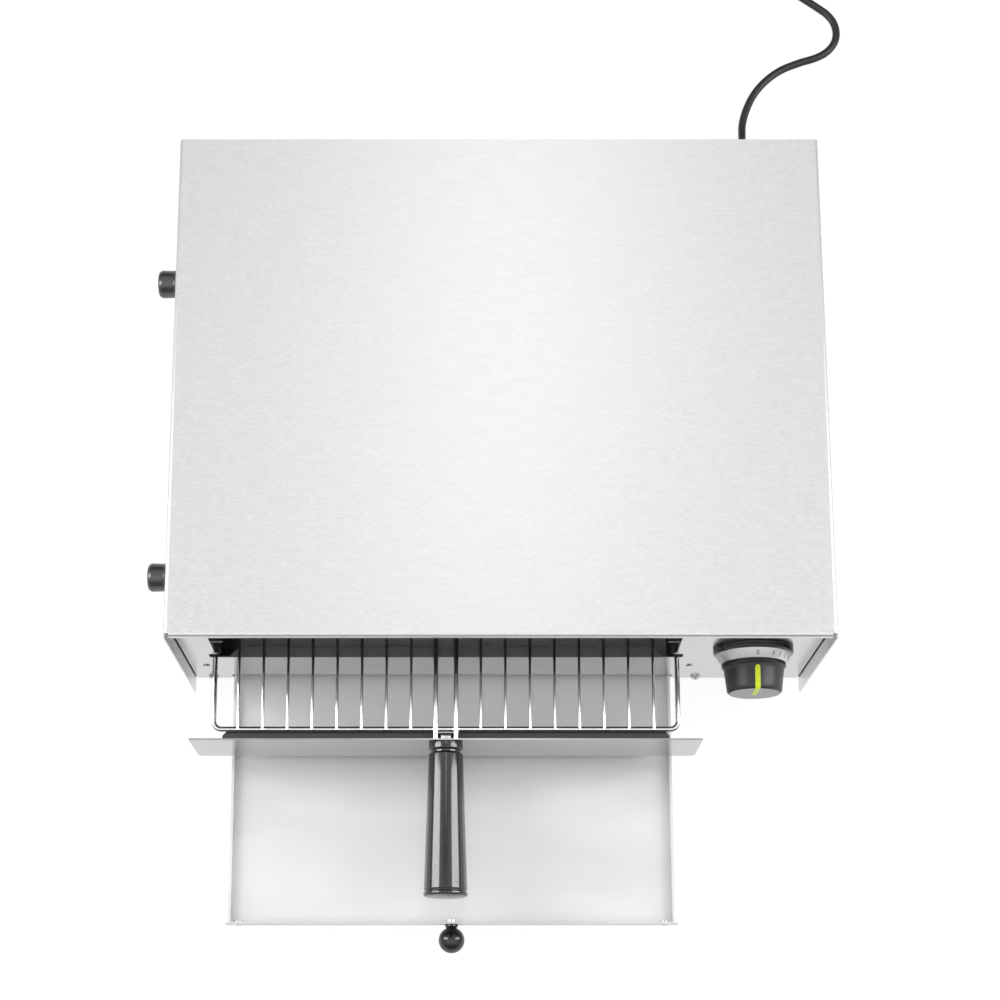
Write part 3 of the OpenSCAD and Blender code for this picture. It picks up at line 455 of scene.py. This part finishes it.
# Woven glass fibre: dull brick red with fine slanting lines. They are drawn about 1.5 mm apart, coarser
# than real ones, so that they show.
braid, tree, bsdf = surface("glass fibre sleeve woven", Roughness=0.8)
at = put(tree, "ShaderNodeTexCoord").outputs["Object"]
weave = put(tree, "ShaderNodeTexWave", {"Vector": at, "Scale": WEAVE}, bands_direction="DIAGONAL").outputs[0]
shade = put(tree, "ShaderNodeMix", {0: weave, 6: lin("#7a2a1c"), 7: lin("#a24634")}, data_type="RGBA")
tree.links.new(shade.outputs[2], bsdf.inputs["Base Color"])
dress("wiring", braid)
dress("timer_body", zinc)
dress("timer_shaft", zinc)

# Dial
# A black moulded seat on the panel and a silver cone that is glued on it, both fixed.
# The cone carries a printed scale: a nought at the top and plain strokes, clockwise from it.
BORE_R = 5
STROKES, FIRST_STROKE, STROKE_STEP = 20, 27, 14
ZERO_POINTS = 24
# Glossy bakelite: deep black, with clear bright lines along its edges.
bakelite = moulded("bakelite moulded glossy", "#0b0b0c", "#121214", 0.13, 2.5, 0.015, 0.1, 1.6)
centre, low, high = mid("dial_bezel")
dial_x, dial_z, panel_y = centre.x, centre.z, high.y
seat_r = (high.x - low.x) / 2
seat_t = high.y - low.y
seat = [(BORE_R, 0), (seat_r, 0), (seat_r, seat_t - 1.6), (seat_r - 0.5, seat_t - 0.6),
        (seat_r - 1.3, seat_t), (BORE_R, seat_t)]
own(turned("dial_seat", rounded(seat, 0.6), (dial_x, panel_y, dial_z), (0, -1, 0), 96),
    "oven", "bakelite", bakelite, "dial_bezel")
_, low, high = mid("dial_ring")
ring_r = (high.x - low.x) / 2
ring_t, ring_y = high.y - low.y, high.y
_, knob_lo, knob_hi = mid("timer_knob")
ring_end = (knob_hi.x - knob_lo.x) / 2 + 0.6
# Satin aluminium under clear lacquer: an even silver with a soft shine; its grain is drawn coarser, to show.
silver, tree, bsdf = surface("aluminium satin lacquered", Metallic=0.85, Base_Color=lin("#d9dada"))
vary(tree, bsdf, 0.5, rough=(0.3, 0.42))
cone = [(BORE_R, 0), (ring_r, 0), (ring_end, ring_t), (BORE_R, ring_t)]
own(turned("dial_cone", rounded(cone, 0.35), (dial_x, ring_y, dial_z), (0, -1, 0), 120),
    "oven", "dial_silver", silver, "dial_ring")


def on_cone(turn, t, lift=0.05):
    """A point on the dial cone: turn in degrees clockwise from the top, t from the seat to the knob."""
    r = ring_r + (ring_end - ring_r) * t + lift
    a = math.radians(turn)
    return Vector((dial_x + r * math.sin(a), ring_y - ring_t * t - lift * 0.5, dial_z + r * math.cos(a))) * MM


def stroke(bm, pairs):
    """A strip between pairs of points."""
    rows = [(bm.verts.new(a), bm.verts.new(b)) for a, b in pairs]
    for (a, b), (c, d) in zip(rows, rows[1:]):
        bm.faces.new((a, b, d, c))


bm = bmesh.new()
zero = []
for k in range(ZERO_POINTS + 1):
    a = 2 * math.pi * k / ZERO_POINTS
    zero.append((on_cone(2.1 * math.sin(a), 0.5 + 0.23 * math.cos(a)),
                 on_cone(1.2 * math.sin(a), 0.5 + 0.15 * math.cos(a))))
stroke(bm, zero)
for k in range(STROKES):
    turn = FIRST_STROKE + STROKE_STEP * k
    half = 0.55 if k % 5 else 0.8
    stroke(bm, [(on_cone(turn - half, t), on_cone(turn + half, t)) for t in (0.28, 0.5, 0.72)])
# Screen print ink: matt charcoal, a little uneven; its grain is drawn coarser than it is, to show.
ink, tree, bsdf = surface("screen print ink", Roughness=0.6, Base_Color=lin("#2b2b2b"))
vary(tree, bsdf, 0.4, rough=(0.5, 0.7))
own(mesh_object("dial_print", bm), "oven", "bakelite", ink)

# Timer knob
# A black ABS moulding with a small foot and a flat end, pushed on the timer's shaft.
# The lime insert is clipped in a slot that runs up its side and on to the end.
POLISHED_DEPTH = 0.5
# Satin ABS: black with a fine grain that blurs the light into soft bands.
knob_black = moulded("ABS moulded satin", "#0e0e0f", "#171719", 0.4, 0.7, 0.12, 0.08, 1.6)
# Lime ABS: a strong yellow-green with a soft shine.
lime = moulded("ABS moulded lime", "#c3d414", "#d6e422", 0.4, 1.5, 0.05, 0.1)
dress("timer_knob", knob_black, 0.35)
# Polished ABS on the end face: smooth black that mirrors the table as an even grey; its black is a touch
# lighter than the side's, as painted light.
knob_end_lit = moulded("ABS moulded polished", "#121213", "#18181a", 0.14, 0.7, 0.03, 0.08, 1.8)
knob = nodes["timer_knob"].data
knob.materials.append(knob_end_lit)
# The end face takes the polished black with its little painted light.
for p in knob.polygons:
    if p.normal.y < -0.99 and p.center.y < (knob_lo.y + POLISHED_DEPTH) * MM:
        p.material_index = 1
dress("knob_pointer", lime, 0.25)

# Rack
# A frame bent from chrome-plated steel wire, with thin wires welded on it.
# Two thicker rods in the middle carry the front plate; small weld beads show at the crossings.
FRAME_BEND, BEND_STEPS = 6.0, 8
WIRES_PER_SIDE = 8
# Tubes are a hair thinner than the solids, so that they stay inside them.
WIRE_GAP = 0.01
# Chrome plating: a bright mirror, with faint lines from the drawing of the wire, drawn coarser, to show.
chrome, tree, bsdf = surface("steel chrome plated wire", Metallic=1.0, Roughness=0.1)
drawn = grain(tree, (0, 1, 0), (1, 0, 1), 60, 1.2)
vary(tree, bsdf, value=drawn, colours=(lin("#cfd2d4"), lin("#e9ebec")), rough=(0.07, 0.16))
centre, low, high = mid("rack_frame")
wire_r = (high.z - low.z) / 2
inset = wire_r + FRAME_BEND
outline = []
for cx, cy, start in ((high.x - inset, high.y - inset, 0), (low.x + inset, high.y - inset, 90),
                      (low.x + inset, low.y + inset, 180), (high.x - inset, low.y + inset, 270)):
    for k in range(BEND_STEPS + 1):
        a = math.radians(start + 90 * k / BEND_STEPS)
        outline.append((cx + FRAME_BEND * math.cos(a), cy + FRAME_BEND * math.sin(a), centre.z))
own(tube("rack_frame_wire", [outline], wire_r - WIRE_GAP, closed=True, sides=6),
    "rack_drawer", "chrome_wire", chrome, "rack_frame")
_, thin_lo, thin_hi = mid("rack_wires")
_, rod_lo, rod_hi = mid("handle_rods")
thin_r = (thin_hi.z - thin_lo.z) / 2
rod_r = (rod_hi.z - rod_lo.z) / 2
rod_x = (rod_hi.x - rod_lo.x) / 2 - rod_r
mid_x = (rod_hi.x + rod_lo.x) / 2
pitch = ((thin_hi.x - thin_lo.x) / 2 - thin_r - rod_x) / WIRES_PER_SIDE
wire_x = [mid_x + s * (rod_x + pitch * i) for s in (-1, 1) for i in range(1, WIRES_PER_SIDE + 1)]
thin_z = (thin_lo.z + thin_hi.z) / 2
thin_lines = [[(x, thin_lo.y, thin_z), (x, thin_hi.y, thin_z)] for x in wire_x]
own(tube("rack_thin_wires", thin_lines, thin_r - WIRE_GAP),
    "rack_drawer", "chrome_wire", chrome, "rack_wires")
dress("handle_rods", chrome)
bm = bmesh.new()
weld_z = centre.z + wire_r
for x, wr in [(x, thin_r) for x in wire_x] + [(mid_x - rod_x, rod_r), (mid_x + rod_x, rod_r)]:
    for y in (low.y + wire_r, high.y - wire_r):
        bead = [(0, -0.5), (wr * 0.9, -0.4), (wr * 1.25, 0), (wr * 0.9, 0.4), (0, 0.5)]
        lathe(bm, bead, (x, y, weld_z), (0, 0, 1), 12)
own(mesh_object("rack_weld_beads", bm, 80), "rack_drawer", "chrome_wire", chrome)

# Front plate, liner and handle
# A brushed stainless plate welded to the rods, with an enamelled steel channel behind it.
# The handle is a collar and a slightly conical grip of polished resin, both held by one long bolt.
BOLT_R = 3.05
# Matt enamel: charcoal with a fine orange-peel skin, drawn coarser than it is, so that it shows.
dark_coat, tree, bsdf = surface("steel black enamel matt", Roughness=0.5)
vary(tree, bsdf, 1.1, 4.0, colours=(lin("#333333"), lin("#484847")), relief=(0.15, 0.1))
# Plate steel: as the front panel, a shade darker, so that the handle's reflection shows in it.
plate_steel = brushed("stainless steel brushed plate", "#b6b6b6", (1, 0, 0), (0, 1, 1), 0.2)
dress("front_plate", plate_steel, 0.3)
dress("plate_liner", dark_coat)
dress("handle_washer", zinc)
dress("handle_bolt", zinc)
# Polished resin: a deep black that mirrors the light tent almost like lacquer.
resin = moulded("phenolic resin polished", "#08080a", "#0d0d0f", 0.14, 2.5, 0.012, 0.1, 1.75)
centre, low, high = mid("handle_collar")
neck_r = (high.x - low.x) / 2
collar = [(BOLT_R, 0), (neck_r, 0), (neck_r, 5.2), (neck_r - 0.8, 6), (neck_r - 2, 6), (neck_r - 2, 8),
          (BOLT_R, 8)]
own(turned("handle_collar_ring", rounded(collar, 0.5), (centre.x, high.y, centre.z), (0, -1, 0), 96),
    "rack_drawer", "bakelite", resin, "handle_collar")
centre, low, high = mid("handle_grip")
end_r = (high.x - low.x) / 2
n = high.y - low.y
grip = [(BOLT_R, 0), (neck_r - 1, 0), (neck_r, 1), (neck_r + 0.5, 18), (end_r - 0.3, n - 5),
        (end_r - 1, n - 4.4), (end_r - 1, n - 3.6), (end_r, n - 3), (end_r, n - 1), (end_r - 1, n), (0, n)]
own(turned("handle_grip_body", rounded(grip, 1.2), (centre.x, high.y, centre.z), (0, -1, 0), 96),
    "rack_drawer", "bakelite", resin, "handle_grip")

# Crumb tray
# A shallow tray folded from rolled stainless sheet, with a facing strip held by two rivets.
# A small bakelite ball on a screw pulls it out.
SCREW_R, BALL_STEP = 2.05, 6
# The tray's colour is lighter at the rear, under the rack, as painted light against the shade there, and
# darker in front. It changes between these places, in metres.
DARK_FRONT_TO, LIT_REAR_FROM = -0.152, -0.13
# Cold-rolled steel: pale and soft, with an even sheen and a little waviness; its faint clouds are a painted
# reflection of the oven.
# The fine spots are drawn coarser than real ones, so that they show.
tray_steel, tree, bsdf = surface("stainless steel cold rolled", Metallic=1.0)
vary(tree, bsdf, 1.4, 3.0, rough=(0.55, 0.62))
# Painted reflection: long soft clouds across the tray.
clouds = grain(tree, (1, 0, 0), (0, 1, 0), 150, 45, 2.0)
at = put(tree, "ShaderNodeTexCoord").outputs["Object"]
along = put(tree, "ShaderNodeSeparateXYZ", {0: at}).outputs[1]
# Painted light: the colour gets lighter from the front towards the rear, under the rack.
rear_light = put(tree, "ShaderNodeMapRange", {0: along, 1: DARK_FRONT_TO, 2: LIT_REAR_FROM, 3: 0.2, 4: 0.6}).outputs[0]
painted_tone = put(tree, "ShaderNodeMath", {0: clouds, 1: 0.3, 2: rear_light}, operation="MULTIPLY_ADD").outputs[0]
vary(tree, bsdf, value=painted_tone, colours=(lin("#dadada"), lin("#f8f8f7")))
vary(tree, bsdf, 120, 1.0, relief=(0.05, 1.0))
dress("crumb_tray", tray_steel)
dress("tray_front", tray_steel, 0.2)
dress("tray_rivets", zinc)
dress("ball_screw", zinc)
centre, low, high = mid("ball_knob")
r = (high.z - low.z) / 2
n = high.y - low.y
neck = 1.4
ball = [(SCREW_R, 0), (r * 0.5, 0), (r * 0.5, neck)]
for k in range(4, 180 // BALL_STEP):
    a = math.radians(BALL_STEP * k)
    h = n - r - r * math.cos(a)
    if h > neck + 0.2:
        ball.append((r * math.sin(a), h))
ball.append((0, n))
own(turned("ball_grip", ball, (centre.x, high.y, centre.z), (0, -1, 0)),
    "tray_drawer", "bakelite", bakelite, "ball_knob")

# Cord ends
# A rubber plug moulded on the lead, with two plated pins.
# A woven hook-and-loop band is wrapped once round the coil and holds it together.
dress("plug", rubber, 0.4)
dress("plug_pins", zinc)
# Woven band: dull charcoal with a rough, fibrous face.
band = moulded("hook and loop band woven", "#2a2a2a", "#3d3d3d", 0.85, 0.8, 0.3, 0.3)
dress("coil_tie", band)

# Table and light
# A matt white table in a light tent, with a tall soft box on each side and a narrow strip overhead.
# The tent has a dark gap overhead and dark walls in front and behind; they give the steel's folds and the
# black pieces their grey lines.
TABLE_HALF, TABLE_Z = 6, -0.0003
SEEN_WHITE, WHITE = 0.88, 1.04
corners = [(x * TABLE_HALF, y * TABLE_HALF, TABLE_Z) for x, y in ((-1, -1), (1, -1), (1, 1), (-1, 1))]
table = bpy.data.meshes.new("table")
table.from_pydata(corners, [], [(0, 1, 2, 3)])
floor = bpy.data.objects.new("table", table)
bpy.context.scene.collection.objects.link(floor)
# Matt white paint: it keeps the oven's shadow, and is lifted to white where it is seen or mirrored.
white = bpy.data.materials.new("table white matt")
white.use_nodes = True
tree = white.node_tree
tree.nodes.clear()
rays = put(tree, "ShaderNodeLightPath").outputs
either = {0: rays["Is Camera Ray"], 1: rays["Is Glossy Ray"]}
seen = put(tree, "ShaderNodeMath", either, operation="MAXIMUM").outputs[0]
share = put(tree, "ShaderNodeMath", {0: seen, 1: SEEN_WHITE}, operation="MULTIPLY").outputs[0]
matt = put(tree, "ShaderNodeBsdfDiffuse", {"Color": (0.9, 0.9, 0.9, 1)})
glow = put(tree, "ShaderNodeEmission", {"Color": (1, 1, 1, 1), "Strength": WHITE})
both = put(tree, "ShaderNodeMixShader", {0: share, 1: matt.outputs[0], 2: glow.outputs[0]})
put(tree, "ShaderNodeOutputMaterial", {"Surface": both.outputs[0]})
table.materials.append(white)

world = bpy.data.worlds.new("studio")
bpy.context.scene.world = world
world.use_nodes = True
tree = world.node_tree
tree.nodes.clear()
seen = put(tree, "ShaderNodeLightPath").outputs["Is Camera Ray"]
at = put(tree, "ShaderNodeTexCoord").outputs["Generated"]
ray = put(tree, "ShaderNodeSeparateXYZ", {0: at}).outputs
# The tent is brightest at its top.
height = put(tree, "ShaderNodeMapRange", {0: ray[2], 1: -0.1, 2: 0.9, 3: 0.3, 4: 0.95}).outputs[0]


def gap(axis, middle, half):
    """How far a ray lies inside a dark gap between two panels overhead, from 0 to 1."""
    slope = put(tree, "ShaderNodeMath", {0: axis, 1: ray[2]}, operation="DIVIDE").outputs[0]
    off = put(tree, "ShaderNodeMath", {0: slope, 1: middle}, operation="SUBTRACT").outputs[0]
    far = put(tree, "ShaderNodeMath", {0: off}, operation="ABSOLUTE").outputs[0]
    return put(tree, "ShaderNodeMapRange", {0: far, 1: half, 2: half * 0.4, 3: 0.0, 4: 1.0}).outputs[0]


spans = {0: gap(ray[0], 0.0, 0.3), 1: gap(ray[1], 0.165, 0.07)}
overhead = put(tree, "ShaderNodeMath", spans, operation="MULTIPLY").outputs[0]
# The dark walls in front and behind reach up to about 50 degrees above the table.
ahead = put(tree, "ShaderNodeMapRange", {0: ray[1], 1: -0.5, 2: -0.75, 3: 0.0, 4: 1.0}).outputs[0]
behind = put(tree, "ShaderNodeMapRange", {0: ray[1], 1: 0.6, 2: 0.85, 3: 0.0, 4: 1.0}).outputs[0]
walls = put(tree, "ShaderNodeMath", {0: ahead, 1: behind}, operation="MAXIMUM").outputs[0]
hole = put(tree, "ShaderNodeMath", {0: overhead, 1: walls}, operation="MAXIMUM").outputs[0]
above = put(tree, "ShaderNodeMath", {0: ray[2], 1: 0.0}, operation="GREATER_THAN").outputs[0]
dark = put(tree, "ShaderNodeMath", {0: hole, 1: above}, operation="MULTIPLY").outputs[0]
dim = put(tree, "ShaderNodeMapRange", {0: dark, 1: 0.0, 2: 1.0, 3: 1.0, 4: 0.4}).outputs[0]
# The tent's front half is a little brighter and lights the drawers.
lift = put(tree, "ShaderNodeMapRange", {0: ray[1], 1: 0.1, 2: -0.15, 3: 1.0, 4: 1.4}).outputs[0]
lit = put(tree, "ShaderNodeMath", {0: height, 1: lift}, operation="MULTIPLY").outputs[0]
tent = put(tree, "ShaderNodeMath", {0: lit, 1: dim}, operation="MULTIPLY").outputs[0]
level = put(tree, "ShaderNodeMix", {0: seen, 2: tent, 3: 1.0}, data_type="FLOAT").outputs[0]
sky = put(tree, "ShaderNodeBackground", {"Color": (1, 1, 1, 1), "Strength": level})
put(tree, "ShaderNodeOutputWorld", {"Surface": sky.outputs[0]})


def soft_box(name, place, target, size, power):
    """A rectangular lamp that looks at a target; sizes in metres."""
    data = bpy.data.lights.new(name, "AREA")
    data.shape = "RECTANGLE"
    data.size, data.size_y = size
    data.energy = power
    lamp = bpy.data.objects.new(name, data)
    bpy.context.scene.collection.objects.link(lamp)
    lamp.location = place
    lamp.rotation_euler = (Vector(target) - Vector(place)).to_track_quat("-Z", "Y").to_euler()


soft_box("strip_above", (0.05, 0.9, 2.3), (0.02, 0.1, 0.2), (0.26, 1.4), 2.0)
soft_box("box_left", (-1.5, 0.1, 1.1), (0, -0.15, 0.1), (0.5, 1.4), 15)
soft_box("box_right", (1.5, 0.1, 1.1), (0, -0.15, 0.1), (0.5, 1.4), 14)
